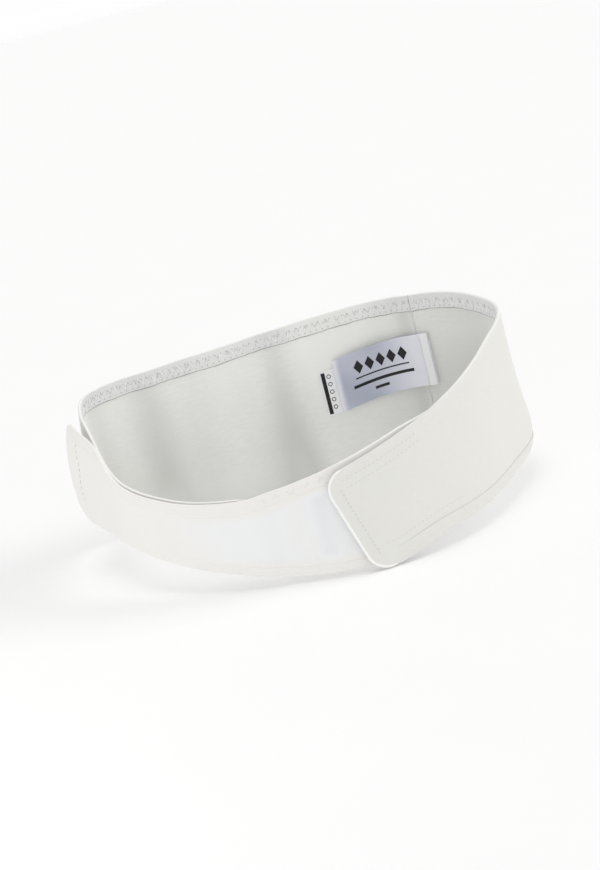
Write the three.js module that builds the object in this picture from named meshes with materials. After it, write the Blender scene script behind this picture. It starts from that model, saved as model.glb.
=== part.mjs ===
// Maternity support belt, fastened into its loop and standing on its lower edge.
// Millimetres. +Z is up, -Y is the low front where the tab closes, +Y is the tall back,
// and +X is the side that the tab comes from.

import * as THREE from 'three';

// The loop as it stands
const LOOP_WIDTH = 306;
const LOOP_DEPTH = 223;
const BACK_HEIGHT = 131;
const FRONT_HEIGHT = 65;
const SIDE_LIFT = 30;
const SIDE_FLARE = 5;
const FOLD_DEPTH = 3;
const FOLD_WIDTH = 17;

// Cloth, tape and the slack between two layers
const BAND_WALL = 2;
const TAPE_WALL = 1;
const LAYER_GAP = 0.3;

// Lengths along the belt, measured from the middle of the front
const INNER_END = 32;
const SEAM = 515;
const PANEL_LEFT = 217;
const PANEL_RIGHT = 112;
const TAB_END = 27;
const TAB_RUN_IN = 75;

// The tab that closes the belt
const TAB_SLANT = 0.3;
const TAB_SLANT_LENGTH = 90;
const TAB_TOP_CORNER = 14;
const TAB_BOTTOM_CORNER = 10;
const TAB_DROP_TOP = 6;
const TAB_DROP_LENGTH = 95;
const TAB_HEM_GROWTH = 4;
const TAB_HEM_LENGTH = 170;

// The front panel's free left end
const PANEL_TOP_CORNER = 9;
const PANEL_BOTTOM_CORNER = 22;
const PANEL_END_RISE = 3.5;
const PANEL_RISE_LENGTH = 110;
const PANEL_END_LIFT = 9;
const PANEL_LIFT_LENGTH = 150;
const PANEL_STAND_OFF = 7.5;
const PANEL_STAND_LENGTH = 58;
const PANEL_END_BOW = 5;
const PANEL_BOW_LENGTH = 60;

// Hems, closure patches and labels
const TOP_HEM = 9;
const BOTTOM_HEM = 7;
const EDGE_SETBACK = 0.5;
const LOOP_FIELD_LEFT = 102;
const HOOK_LENGTH = 80;
const HOOK_MARGIN = 9;
const LABEL_LENGTH = 82;
const LABEL_HEIGHT = 42;
const LABEL_TOP_DROP = 31;
const LABEL_BOW = 3;
const LABEL_LAP = 9.5;
const LABEL_DROOP = 7;
const LABEL_FOLD = 6;
const CARE_LENGTH = 94;
const CARE_HEIGHT = 36;

// Sixteen even turns round the loop from the middle of the front by the left.
// across, back: the rim's place, as shares of the loop's width and depth from its middle.
// rise: the rim's height, from the front's at 0 to the back's at 1.
// lift: the lower edge's height, as a share of the side's lift.
// flare: how far the lower edge stands outside the rim's line, as a share of the side's flare.
const ROUND = [
  { across: -0.065, back: -0.485, rise: 0.08, lift: 0.14, flare: 0.6 },
  { across: -0.2, back: -0.43, rise: 0.0, lift: 0.36, flare: 0.3 },
  { across: -0.34, back: -0.335, rise: 0.06, lift: 0.68, flare: 0.1 },
  { across: -0.46, back: -0.18, rise: 0.25, lift: 0.96, flare: 0.2 },
  { across: -0.51, back: 0.04, rise: 0.59, lift: 1.0, flare: 0.4 },
  { across: -0.507, back: 0.27, rise: 0.87, lift: 0.7, flare: 0.3 },
  { across: -0.35, back: 0.41, rise: 0.89, lift: 0.2, flare: 0.0 },
  { across: -0.19, back: 0.445, rise: 0.91, lift: 0.0, flare: -0.3 },
  { across: -0.065, back: 0.475, rise: 0.93, lift: 0.0, flare: -0.3 },
  { across: 0.075, back: 0.5, rise: 0.95, lift: 0.0, flare: 0.0 },
  { across: 0.25, back: 0.465, rise: 0.98, lift: 0.0, flare: 0.3 },
  { across: 0.415, back: 0.305, rise: 0.98, lift: 0.38, flare: 0.5 },
  { across: 0.495, back: 0.035, rise: 0.9, lift: 0.68, flare: 0.6 },
  { across: 0.41, back: -0.235, rise: 0.74, lift: 0.62, flare: 0.5 },
  { across: 0.265, back: -0.42, rise: 0.48, lift: 0.38, flare: 0.6 },
  { across: 0.1, back: -0.5, rise: 0.27, lift: 0.16, flare: 0.9 },
];

// Soft upright folds that deepen towards the lower edge.
// at: the fold's place, as a share of the way round from the middle of the front by the left.
// depth: outwards when positive, as a share of the fold depth.
// width: as a share of the fold width.
const FOLDS = [
  { at: 0.30, depth: 0.7, width: 1.0 },
  { at: 0.36, depth: -0.8, width: 1.0 },
  { at: 0.43, depth: 0.8, width: 1.4 },
  { at: 0.51, depth: -1.0, width: 1.1 },
  { at: 0.57, depth: 0.9, width: 1.2 },
  { at: 0.68, depth: -0.6, width: 1.2 },
  { at: 0.97, depth: 0.4, width: 1.1 },
  { at: 0.03, depth: -0.4, width: 1.0 },
];

const STATIONS = 120;
const BAND_ROWS = 8;
const CORNER_STEPS = 5;
const STATION_CLEARANCE = 0.1;

// How far each layer's middle stands from the layer that it lies on
const TAPE_STEP = BAND_WALL / 2 + LAYER_GAP + TAPE_WALL / 2;
const TAPE_PITCH = TAPE_WALL + LAYER_GAP;
const PANEL_OUT = BAND_WALL + TAPE_WALL + 2 * LAYER_GAP;
const TAB_OUT = BAND_WALL + 2 * TAPE_WALL + 3 * LAYER_GAP;

const rim = closedCurve((row) => [row.across * LOOP_WIDTH, row.back * LOOP_DEPTH, 0]);
const edges = closedCurve((row) => [row.rise, row.lift, row.flare]);
const GIRTH = rim.getLength();
const TAB_OUT_FROM = GIRTH - PANEL_RIGHT - EDGE_SETBACK;
const PANEL_OUT_FROM = INNER_END - EDGE_SETBACK;
const stations = Array.from({ length: STATIONS }, (_, index) => station(index / STATIONS));

function closedCurve(columns) {
  const points = ROUND.map((row) => new THREE.Vector3(...columns(row)));
  const curve = new THREE.CatmullRomCurve3(points, true, 'catmullrom', 0.5);
  curve.arcLengthDivisions = 40 * ROUND.length;
  return curve;
}

// One upright line of the belt's middle surface, a share of the way round.
function station(share) {
  const turn = rim.getUtoTmapping(share);
  const foot = rim.getPoint(turn);
  const ahead = rim.getTangent(turn);
  const edge = edges.getPoint(turn);
  return {
    x: foot.x,
    y: foot.y,
    outX: -ahead.y,
    outY: ahead.x,
    top: THREE.MathUtils.lerp(FRONT_HEIGHT, BACK_HEIGHT, edge.x),
    bottom: Math.max(0, edge.y) * SIDE_LIFT,
    spread: edge.z * SIDE_FLARE + foldDepth(share),
  };
}

function foldDepth(share) {
  return FOLDS.reduce((sum, fold) => {
    const turns = share - fold.at - Math.round(share - fold.at);
    const away = (turns * GIRTH) / (fold.width * FOLD_WIDTH);
    return sum + fold.depth * FOLD_DEPTH * Math.exp(-away * away);
  }, 0);
}

// The belt's middle surface is flat between two stations, so layers keep their distance exactly.
function between(along) {
  const turn = (((along / GIRTH) % 1) + 1) % 1;
  const index = Math.floor(turn * STATIONS);
  const share = turn * STATIONS - index;
  const before = stations[index % STATIONS];
  const after = stations[(index + 1) % STATIONS];
  const names = Object.keys(before);
  return Object.fromEntries(names.map((name) => [name, THREE.MathUtils.lerp(before[name], after[name], share)]));
}

// A point `along` the belt, `up` from the floor and `out` from the middle surface.
function place(along, up, out) {
  const line = between(along);
  const away = out + line.spread * (1 - up / BACK_HEIGHT);
  return [line.x + line.outX * away, line.y + line.outY * away, up];
}

// 0 at and beyond `reach`, easing to 1 where the distance is 0.
function ease(distance, reach) {
  return 1 - THREE.MathUtils.smoothstep(distance, 0, reach);
}

// Both ends of a stretch of belt, its own `turns` in between, and every station that is clear of them.
function stops(from, to, turns = []) {
  const pitch = GIRTH / STATIONS;
  const list = [from, ...turns, to];
  for (let step = Math.ceil(from / pitch); step * pitch < to; step += 1) {
    const isClear = list.every((stop) => Math.abs(stop - step * pitch) > pitch * STATION_CLEARANCE);
    if (isClear) list.push(step * pitch);
  }
  return list.sort((one, other) => one - other);
}

// Stops that follow a round corner back from the piece's end.
function cornerStops(end, radius) {
  return Array.from({ length: CORNER_STEPS }, (_, step) => {
    const angle = ((step + 1) / CORNER_STEPS) * (Math.PI / 2);
    return end - radius * (1 - Math.cos(angle));
  });
}

// How much a round corner takes off the edge, `distance` from the piece's end.
function cornerCut(distance, radius) {
  if (distance >= radius) return 0;
  return radius - Math.sqrt(Math.max(0, radius * radius - (radius - distance) ** 2));
}

// The same rib with its piece's round corners taken off.
function cutCorners(rib, end, topRadius, bottomRadius) {
  const toEnd = end - rib.along;
  return { ...rib, low: rib.low + cornerCut(toEnd, bottomRadius), high: rib.high - cornerCut(toEnd, topRadius) };
}

// A rib runs up a piece at one stop: its heights, its distance out, its slant about the middle of its height,
// the bow of its middle, and its lower hem's height.
function bandRib(along) {
  const line = between(along);
  const { bottom, top } = line;
  const middle = (bottom + top) / 2;
  return { along, low: bottom, high: top, out: 0, slant: 0, middle, bow: 0, half: (top - bottom) / 2, hem: BOTTOM_HEM };
}

// The right band drifts outwards and downwards into the tab and takes up the slant of the tab's end.
function rightRib(along) {
  const rib = bandRib(along);
  const toEnd = GIRTH - TAB_END - along;
  rib.out = TAB_OUT * ease(TAB_OUT_FROM - along, TAB_RUN_IN);
  rib.slant = TAB_SLANT * ease(toEnd, TAB_SLANT_LENGTH);
  rib.high -= TAB_DROP_TOP * ease(toEnd, TAB_DROP_LENGTH);
  rib.low *= 1 - ease(toEnd, TAB_DROP_LENGTH);
  rib.hem += TAB_HEM_GROWTH * ease(toEnd, TAB_HEM_LENGTH);
  return rib;
}

// The front panel lies over the left band's inner end, closes onto the loop's own line beyond it,
// and stands off at its free left end.
function panelRib(along) {
  const rib = bandRib(along);
  const toEnd = PANEL_LEFT - along;
  rib.out = PANEL_OUT * ease(PANEL_OUT_FROM - along, INNER_END / 2);
  rib.out += PANEL_STAND_OFF * ease(toEnd, PANEL_STAND_LENGTH);
  rib.bow = PANEL_END_BOW * ease(toEnd, PANEL_BOW_LENGTH);
  rib.high += PANEL_END_RISE * ease(toEnd, PANEL_RISE_LENGTH);
  rib.low += PANEL_END_LIFT * ease(toEnd, PANEL_LIFT_LENGTH);
  return rib;
}

// A closed sheet of even wall through its ribs, each with as many points up it as there are rows.
function sheet(ribs, rows, wall) {
  const points = [];
  ribs.forEach((rib) => {
    [-wall / 2, wall / 2].forEach((side) => {
      for (let row = 0; row < rows; row += 1) {
        const up = THREE.MathUtils.lerp(rib.low, rib.high, row / (rows - 1));
        const fromMiddle = up - rib.middle;
        const bulge = rib.bow * (1 - (fromMiddle / rib.half) ** 2);
        points.push(...place(rib.along + rib.slant * fromMiddle, up, rib.out + bulge + side));
      }
    });
  });
  const faces = [];
  const round = 2 * rows;
  const quad = (a, b, c, d) => faces.push(a, b, c, a, c, d);
  const ring = [];
  for (let row = 0; row < rows; row += 1) ring.push(row);
  for (let row = rows - 1; row >= 0; row -= 1) ring.push(rows + row);
  for (let rib = 0; rib < ribs.length - 1; rib += 1) {
    ring.forEach((corner, index) => {
      const next = ring[(index + 1) % round];
      quad(rib * round + corner, (rib + 1) * round + corner, (rib + 1) * round + next, rib * round + next);
    });
  }
  const last = (ribs.length - 1) * round;
  for (let row = 0; row < rows - 1; row += 1) {
    quad(row, row + 1, rows + row + 1, rows + row);
    quad(last + rows + row, last + rows + row + 1, last + row + 1, last + row);
  }
  const geometry = new THREE.BufferGeometry();
  geometry.setAttribute('position', new THREE.Float32BufferAttribute(points, 3));
  geometry.setIndex(faces);
  geometry.computeVertexNormals();
  return geometry;
}

// A tape of the hem's width along a band's upper or lower edge, on its inner (-1) or outer (1) face.
function topHem(rib, side) {
  const high = rib.high - EDGE_SETBACK;
  return { ...rib, low: rib.high - TOP_HEM, high, out: rib.out + side * TAPE_STEP };
}

function bottomHem(rib, side) {
  const low = rib.low + EDGE_SETBACK;
  return { ...rib, low, high: rib.low + rib.hem, out: rib.out + side * TAPE_STEP };
}

// A patch in the field between the two hems.
function patch(rib, side) {
  const low = rib.low + BOTTOM_HEM + LAYER_GAP;
  return { ...rib, low, high: rib.high - TOP_HEM - LAYER_GAP, out: rib.out + side * TAPE_STEP };
}

// A label hangs inside the left band from its sewn end, `layer` tapes away from the cloth.
// It droops towards its free end, and bows away from the cloth by `bow`.
function labelRib(along, height, drop, layer, bow) {
  const fromEnd = (SEAM + LABEL_LAP - along) / LABEL_LENGTH;
  const droop = LABEL_DROOP * Math.min(1, fromEnd * fromEnd);
  const high = between(along).top - LABEL_TOP_DROP - drop - droop;
  const out = -(TAPE_STEP + layer * TAPE_PITCH + bow * Math.sin(Math.PI * fromEnd));
  return { along, low: high - height, high, out, slant: 0, middle: high, bow: 0, half: height };
}

const COLOURS = {
  cloth: { color: 0xf1efe9, roughness: 0.9, metalness: 0 },
  hem: { color: 0xf4f2ec, roughness: 0.85, metalness: 0 },
  loops: { color: 0xf3f6fb, roughness: 0.95, metalness: 0 },
  hooks: { color: 0xeceae4, roughness: 0.7, metalness: 0 },
  satin: { color: 0xe9e9f4, roughness: 0.5, metalness: 0 },
};

function piece(name, finish, ribs, rows, wall) {
  const mesh = new THREE.Mesh(sheet(ribs, rows, wall), new THREE.MeshStandardMaterial(COLOURS[finish]));
  mesh.name = name;
  return mesh;
}

function leftBand() {
  const ribs = stops(INNER_END, SEAM - LAYER_GAP / 2).map(bandRib);
  return [
    piece('left_band', 'cloth', ribs, BAND_ROWS, BAND_WALL),
    piece('left_top_hem', 'hem', ribs.map((rib) => topHem(rib, -1)), 2, TAPE_WALL),
    piece('left_bottom_hem', 'hem', ribs.map((rib) => bottomHem(rib, 1)), 2, TAPE_WALL),
  ];
}

function rightBand() {
  const from = SEAM + LAYER_GAP / 2;
  const to = GIRTH - TAB_END;
  const turns = [TAB_OUT_FROM, ...cornerStops(to, TAB_TOP_CORNER)];
  const ribs = stops(from, to, turns).map((along) => {
    return cutCorners(rightRib(along), to, TAB_TOP_CORNER, TAB_BOTTOM_CORNER);
  });
  const hemRibs = stops(from, to - TAB_TOP_CORNER, [TAB_OUT_FROM]).map(rightRib);
  return [
    piece('right_band', 'cloth', ribs, BAND_ROWS, BAND_WALL),
    piece('right_top_hem', 'hem', hemRibs.map((rib) => topHem(rib, -1)), 2, TAPE_WALL),
    piece('right_bottom_hem', 'hem', hemRibs.map((rib) => bottomHem(rib, 1)), 2, TAPE_WALL),
  ];
}

function frontPanel() {
  const turns = [PANEL_OUT_FROM, ...cornerStops(PANEL_LEFT, PANEL_BOTTOM_CORNER)];
  const ribs = stops(-PANEL_RIGHT, PANEL_LEFT, turns).map((along) => {
    return cutCorners(panelRib(along), PANEL_LEFT, PANEL_TOP_CORNER, PANEL_BOTTOM_CORNER);
  });
  const topRibs = stops(-PANEL_RIGHT, PANEL_LEFT - PANEL_TOP_CORNER, [PANEL_OUT_FROM]).map(panelRib);
  const bottomRibs = stops(-PANEL_RIGHT, PANEL_LEFT - PANEL_BOTTOM_CORNER, [PANEL_OUT_FROM]).map(panelRib);
  const fieldRibs = stops(-PANEL_RIGHT + EDGE_SETBACK, LOOP_FIELD_LEFT, [PANEL_OUT_FROM]).map(panelRib);
  return [
    piece('front_panel', 'cloth', ribs, BAND_ROWS, BAND_WALL),
    piece('panel_top_hem', 'hem', topRibs.map((rib) => topHem(rib, 1)), 2, TAPE_WALL),
    piece('panel_bottom_hem', 'hem', bottomRibs.map((rib) => bottomHem(rib, 1)), 2, TAPE_WALL),
    piece('loop_patch', 'loops', fieldRibs.map((rib) => patch(rib, 1)), BAND_ROWS - 1, TAPE_WALL),
  ];
}

function hookPatches() {
  const tabEnd = GIRTH - TAB_END - HOOK_MARGIN;
  const panelEnd = PANEL_LEFT - HOOK_MARGIN;
  const tabRibs = stops(tabEnd - HOOK_LENGTH, tabEnd).map(rightRib);
  const panelRibs = stops(panelEnd - HOOK_LENGTH, panelEnd).map(panelRib);
  return [
    piece('tab_hook_patch', 'hooks', tabRibs.map((rib) => patch(rib, -1)), BAND_ROWS - 1, TAPE_WALL),
    piece('panel_hook_patch', 'hooks', panelRibs.map((rib) => patch(rib, -1)), BAND_ROWS - 1, TAPE_WALL),
  ];
}

function labels() {
  const end = SEAM + LABEL_LAP;
  const careDrop = LABEL_HEIGHT - CARE_HEIGHT;
  const ribs = (length, height, drop, layer, bow) =>
    stops(end - length, end).map((along) => labelRib(along, height, drop, layer, bow));
  return [
    piece('main_label', 'satin', ribs(LABEL_LENGTH, LABEL_HEIGHT, 0, 1, LABEL_BOW), 3, TAPE_WALL),
    piece('label_fold', 'satin', ribs(LABEL_FOLD, LABEL_HEIGHT, 0, 2, LABEL_BOW), 3, TAPE_WALL),
    piece('care_label', 'satin', ribs(CARE_LENGTH, CARE_HEIGHT, careDrop, 0, 0), 3, TAPE_WALL),
  ];
}

const belt = new THREE.Group();
belt.add(...leftBand(), ...rightBand(), ...frontPanel(), ...hookPatches(), ...labels());

// The floor is z = 0, and the middle of the belt's box stands over the origin.
const box = new THREE.Box3().setFromObject(belt, true);
const middle = box.getCenter(new THREE.Vector3());
belt.children.forEach((mesh) => mesh.geometry.translate(-middle.x, -middle.y, -box.min.z));

export default belt;
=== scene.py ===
# Maternity support belt, fastened into its loop and standing on its lower edge.
# Lengths are millimetres until a mesh is made, and metres in Blender.

import math

import bpy
import numpy as np
from mathutils import Matrix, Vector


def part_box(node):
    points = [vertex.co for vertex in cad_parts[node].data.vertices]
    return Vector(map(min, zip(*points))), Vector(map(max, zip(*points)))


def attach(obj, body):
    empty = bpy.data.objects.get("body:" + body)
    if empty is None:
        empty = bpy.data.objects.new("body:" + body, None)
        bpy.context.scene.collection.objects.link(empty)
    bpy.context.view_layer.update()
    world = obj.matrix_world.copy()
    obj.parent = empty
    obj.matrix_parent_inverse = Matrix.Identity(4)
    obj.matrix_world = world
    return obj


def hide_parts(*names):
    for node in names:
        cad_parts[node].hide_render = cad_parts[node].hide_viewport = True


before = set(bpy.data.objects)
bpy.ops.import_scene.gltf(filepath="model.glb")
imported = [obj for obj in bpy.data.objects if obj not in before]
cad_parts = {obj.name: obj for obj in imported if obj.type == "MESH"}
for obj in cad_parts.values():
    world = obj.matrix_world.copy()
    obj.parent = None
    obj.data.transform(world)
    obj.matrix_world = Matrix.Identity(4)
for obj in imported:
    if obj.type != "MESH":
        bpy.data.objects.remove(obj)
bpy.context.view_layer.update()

MM = 0.001

# The loop as it stands
LOOP_WIDTH = 306.0
LOOP_DEPTH = 223.0
BACK_HEIGHT = 131.0
FRONT_HEIGHT = 65.0
SIDE_LIFT = 30.0
SIDE_FLARE = 5.0
FOLD_DEPTH = 3.0
FOLD_WIDTH = 17.0

# Cloth, tape and the slack between two layers
BAND_WALL = 2.0
TAPE_WALL = 1.0
LAYER_GAP = 0.3

# Lengths along the belt, measured from the middle of the front by the left
INNER_END = 32.0
SEAM = 515.0
PANEL_LEFT = 217.0
PANEL_RIGHT = 112.0
TAB_END = 27.0
TAB_RUN_IN = 75.0

# The tab that closes the belt
TAB_SLANT = 0.3
TAB_SLANT_LENGTH = 90.0
TAB_TOP_CORNER = 14.0
TAB_BOTTOM_CORNER = 10.0
TAB_DROP_TOP = 6.0
TAB_DROP_LENGTH = 95.0
TAB_HEM_GROWTH = 4.0
TAB_HEM_LENGTH = 170.0

# The front panel's free left end
PANEL_TOP_CORNER = 9.0
PANEL_BOTTOM_CORNER = 22.0
PANEL_END_RISE = 3.5
PANEL_RISE_LENGTH = 110.0
PANEL_END_LIFT = 9.0
PANEL_LIFT_LENGTH = 150.0
PANEL_STAND_OFF = 7.5
PANEL_STAND_LENGTH = 58.0
PANEL_END_BOW = 5.0
PANEL_BOW_LENGTH = 60.0

# Hems, closure patches and labels
TOP_HEM = 9.0
BOTTOM_HEM = 7.0
EDGE_SETBACK = 0.5
LOOP_FIELD_LEFT = 102.0
HOOK_LENGTH = 80.0
HOOK_MARGIN = 9.0
LABEL_LENGTH = 82.0
LABEL_HEIGHT = 42.0
LABEL_TOP_DROP = 31.0
LABEL_BOW = 3.0
LABEL_LAP = 9.5
LABEL_DROOP = 7.0
LABEL_FOLD = 6.0
CARE_LENGTH = 94.0
CARE_HEIGHT = 36.0

# Sewing
THREAD_RADIUS = 0.26
ZIGZAG_PITCH = 4.7
STITCH_PITCH = 3.0
EDGE_ROLL = 1.0
SEWN_WALL = 0.7
HEM_PROUD = 0.55
HEM_PUCKER = 0.13
BACK_HEM = 12.6
BACK_STITCH_NEAR = 4.4
BACK_STITCH_FAR = 10.2

# The painted highlight's height at the turned rim, and how much painted shade darkens the lining from a height down to
# its foot
RIM_HIGHLIGHT_DEPTH = 0.8
FOOT_PAINTED_SHADE = 0.95
FOOT_PAINTED_SHADE_HEIGHT = 100.0

# How the cloth lies softer than its smooth form. A bell is given by its height, its place along and its reach.
SIDE_LEAN = (7.0, 246.0, 36.0)
SIDE_LEAN_RIM = 0.49
SIDE_LEAN_FALL = 16.0
RIM_TUCK = (2.8, 168.0, 58.0)
RIGHT_BOW = (3.8, 615.0, 45.0)
RIGHT_BOW_POWER = 4
PANEL_SWELL = (7.4, 169.0, 22.0)
PANEL_FOOT = (1.6, 138.0, 18.0)
TAB_FOOT = (5.2, 50.0, 30.0)
HIDDEN_FOOT = (4.5, 148.0, 38.0)
INNER_END_DROP = 2.0
INNER_END_LENGTH = 12.0
CLOSE_GAP = 1.0
PANEL_RIM_DROP = 0.7
PANEL_RIGHT_DROP = 4.0
PANEL_RIGHT_DROP_LENGTH = 40.0

# How closely the surfaces are cut: the ribs' pitch, the stops at a strip's ends and round a corner, and the rows
# from one edge to the other
RIB_PITCH = 1.6
HOOK_PITCH = 2.0
END_STOPS = 5
CORNER_STOPS = 14
BAND_ROWS = 26
PANEL_ROWS = 22
INNER_HEM_ROWS = 9
PANEL_HEM_ROWS = 7
OUTER_HEM_ROWS = 6
FIELD_ROWS = 16
HOOK_ROWS = 12
LABEL_ROWS = 18
CARE_ROWS = 14

# The camera as it stood: down-tilt and roll in degrees, its place in millimetres, its lens
CAMERA_TILT = 15.96
CAMERA_ROLL = 14.32
CAMERA_RIGHT = 2.23
CAMERA_UP = 68.06
CAMERA_DISTANCE = 1200.0
CAMERA_LENS = 68.09

# The sky's even light, and the brighter band where it meets the floor
SKY_LIGHT = 0.725
HORIZON_LIGHT = 1.0

# Sixteen even turns round the loop from the middle of the front by the left.
# across, back: the rim's place, as shares of the loop's width and depth from its middle.
# rise: the rim's height, from the front's at 0 to the back's at 1.
# lift: the lower edge's height, as a share of the side's lift.
# flare: how far the lower edge stands outside the rim's line, as a share of the side's flare.
ROUND = np.array(
    [
        # across, back, rise, lift, flare
        (-0.065, -0.485, 0.08, 0.14, 0.6),
        (-0.2, -0.43, 0.0, 0.36, 0.3),
        (-0.34, -0.335, 0.06, 0.68, 0.1),
        (-0.46, -0.18, 0.25, 0.96, 0.2),
        (-0.51, 0.04, 0.59, 1.0, 0.4),
        (-0.507, 0.27, 0.87, 0.7, 0.3),
        (-0.35, 0.41, 0.89, 0.2, 0.0),
        (-0.19, 0.445, 0.91, 0.0, -0.3),
        (-0.065, 0.475, 0.93, 0.0, -0.3),
        (0.075, 0.5, 0.95, 0.0, 0.0),
        (0.25, 0.465, 0.98, 0.0, 0.3),
        (0.415, 0.305, 0.98, 0.38, 0.5),
        (0.495, 0.035, 0.9, 0.68, 0.6),
        (0.41, -0.235, 0.74, 0.62, 0.5),
        (0.265, -0.42, 0.48, 0.38, 0.6),
        (0.1, -0.5, 0.27, 0.16, 0.9),
    ]
)

# Soft upright folds that deepen towards the lower edge.
FOLDS = [
    # at, depth, width
    (0.30, 0.7, 1.0),
    (0.36, -0.8, 1.0),
    (0.43, 0.8, 1.4),
    (0.51, -1.0, 1.1),
    (0.57, 0.9, 1.2),
    (0.68, -0.6, 1.2),
    (0.97, 0.4, 1.1),
    (0.03, -0.4, 1.0),
]

# Creases that the cloth keeps from its folded pack, and the swells between them.
# along: where the crease runs. step: how far the cloth falls inwards past it. width: how quickly.
# foot, rim: its strength at the lower edge and at the rim. tone: painted shade along it, or painted light below 0.
CREASES = [
    # along, step, width, foot, rim, tone
    (-13.0, 0.25, 6.0, 0.4, 0.9, 0.8),
    (3.0, 0.0, 9.0, 0.6, 0.8, -0.5),
    (232.0, 0.0, 9.0, 0.3, 1.0, -0.5),
    (252.0, 0.7, 9.0, 0.8, 1.0, 0.3),
    (270.0, 0.0, 9.0, 0.6, 0.8, -0.1),
    (296.0, 1.9, 14.0, 1.0, 0.7, 0.5),
    (358.0, 0.0, 28.0, 0.7, 0.8, -0.7),
    (400.0, 2.1, 12.0, 1.0, 0.6, 0.66),
    (427.0, 0.0, 13.0, 0.4, 0.6, -0.7),
    (452.0, 0.0, 34.0, 0.45, 1.0, -1.35),
    (507.0, 1.1, 8.0, 0.3, 0.9, 0.95),
    (534.0, 0.4, 16.0, 0.4, 0.4, 0.35),
    (575.0, 0.9, 34.0, 0.9, 0.9, 0.6),
]


# ---- the belt's surface


def unit(vectors):
    """The same directions, each with a length of 1."""
    return vectors / np.linalg.norm(vectors, axis=-1, keepdims=True)


def lengths_to(points):
    """The length along a line of points, from the first to each of them."""
    return np.concatenate([[0.0], np.cumsum(np.linalg.norm(np.diff(points, axis=0), axis=1))])


def closed_curve(rows, turns):
    """A uniform Catmull-Rom curve through the rows, closed on itself, with its slope, at each turn from 0 to 1."""
    at = (turns % 1.0) * len(rows)
    index = np.floor(at).astype(int)
    t = (at - index)[:, None]
    before, one, two, after = (rows[(index + step) % len(rows)] for step in (-1, 0, 1, 2))
    leave, arrive = 0.5 * (two - before), 0.5 * (after - one)
    point = (
        (2 * t**3 - 3 * t**2 + 1) * one
        + (t**3 - 2 * t**2 + t) * leave
        + (3 * t**2 - 2 * t**3) * two
        + (t**3 - t**2) * arrive
    )
    slope = 6 * (t**2 - t) * (one - two) + (3 * t**2 - 4 * t + 1) * leave + (3 * t**2 - 2 * t) * arrive
    return point, slope


def belt_lines():
    """The upright lines of the belt's middle surface, by the length along the rim. The rim runs through the table's
    across and back, and outwards is its slope turned a quarter turn. The folds add to how far the foot spreads."""
    turns = np.linspace(0.0, 1.0, 4801)
    scale = np.array([LOOP_WIDTH, LOOP_DEPTH])
    rim, ahead = closed_curve(ROUND[:, :2] * scale, turns)
    edge, _ = closed_curve(ROUND[:, 2:], turns)
    ahead = unit(ahead)
    along = lengths_to(rim)
    share = along / along[-1]
    spread = edge[:, 2] * SIDE_FLARE
    for at, depth, width in FOLDS:
        away = (share - at - np.round(share - at)) * along[-1] / (width * FOLD_WIDTH)
        spread = spread + depth * FOLD_DEPTH * np.exp(-(away**2))
    return {
        "along": along,
        "x": rim[:, 0],
        "y": rim[:, 1],
        "out_x": -ahead[:, 1],
        "out_y": ahead[:, 0],
        "top": FRONT_HEIGHT + (BACK_HEIGHT - FRONT_HEIGHT) * edge[:, 0],
        "bottom": np.maximum(0.0, edge[:, 1]) * SIDE_LIFT,
        "spread": spread,
    }


LINES = belt_lines()
GIRTH = float(LINES["along"][-1])
SHIFT = np.zeros(3)


def line(name, along):
    """One value of the upright lines, read between them, at each length along the belt."""
    return np.interp(np.asarray(along, float) % GIRTH, LINES["along"], LINES[name])


def slack(along, up):
    """How far the cloth stands off its smooth form: three long low waves across each other, about 0.2 mm."""
    lean = up - 60.0
    return (
        0.11 * np.sin(along / 11.0 + lean / 31.0)
        + 0.07 * np.sin(along / 6.3 - lean / 19.0 + 1.7)
        + 0.04 * np.sin(along / 3.7 + lean / 9.0 + 0.4)
    )


def crease_move(along, up):
    """How far the creases move the cloth outwards: each is a swell out before its line and a swell in past it."""
    share = np.clip(up / BACK_HEIGHT, 0.0, 1.0)
    move = 0.0
    for at, step, width, foot, rim, _ in CREASES:
        past = bell(along - at - 0.8 * width, width)
        before = bell(along - at + 0.8 * width, width)
        move = move + step * (foot + (rim - foot) * share) * (before - past)
    return move


def painted_crease_shading(along, up):
    """Painted shade along the creases, or painted light below 0: a bell over each crease's line."""
    share = np.clip(up / BACK_HEIGHT, 0.0, 1.0)
    tone = 0.0
    for at, _, width, foot, rim, grey in CREASES:
        tone = tone + grey * (foot + (rim - foot) * share) * bell(along - at, width)
    return np.clip(tone, -1.0, 1.0)


def painted_rim_highlight(up, top):
    """Painted highlight at the very rim, where the cloth is turned and light falls on its top: 1 there and 0 below it,
    with a short straight rise between.
    """
    return np.clip((up - top + RIM_HIGHLIGHT_DEPTH) * 4.0 / RIM_HIGHLIGHT_DEPTH, 0.0, 1.0)


def lining_tone(along, up):
    """The creases' painted shade and light, painted shade that grows a little towards the foot, and a painted highlight
    at the very rim.
    """
    tone = painted_crease_shading(along, up) + FOOT_PAINTED_SHADE * np.clip(1.0 - up / FOOT_PAINTED_SHADE_HEIGHT, 0.0, 1.0)
    rim = painted_rim_highlight(up, line("top", along))
    return np.clip(tone, -1.0, 1.0) * (1.0 - rim) - rim


def hem_tone(along, up):
    """The creases' painted shade and light, and a painted highlight at the very rim."""
    rim = painted_rim_highlight(up, line("top", along))
    return painted_crease_shading(along, up) * (1.0 - rim) - rim


def smooth_place(along, up, out):
    """A point of the belt's smooth form, along the belt, up from the floor and out from the middle surface: the rim's
    point, moved outwards by out and by the foot's spread, which falls to nothing at the back's height."""
    along, up, out = np.broadcast_arrays(*(np.asarray(value, float) for value in (along, up, out)))
    away = out + line("spread", along) * (1.0 - up / BACK_HEIGHT)
    x = line("x", along) + line("out_x", along) * away
    y = line("y", along) + line("out_y", along) * away
    return np.stack([x, y, up], axis=-1)


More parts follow.
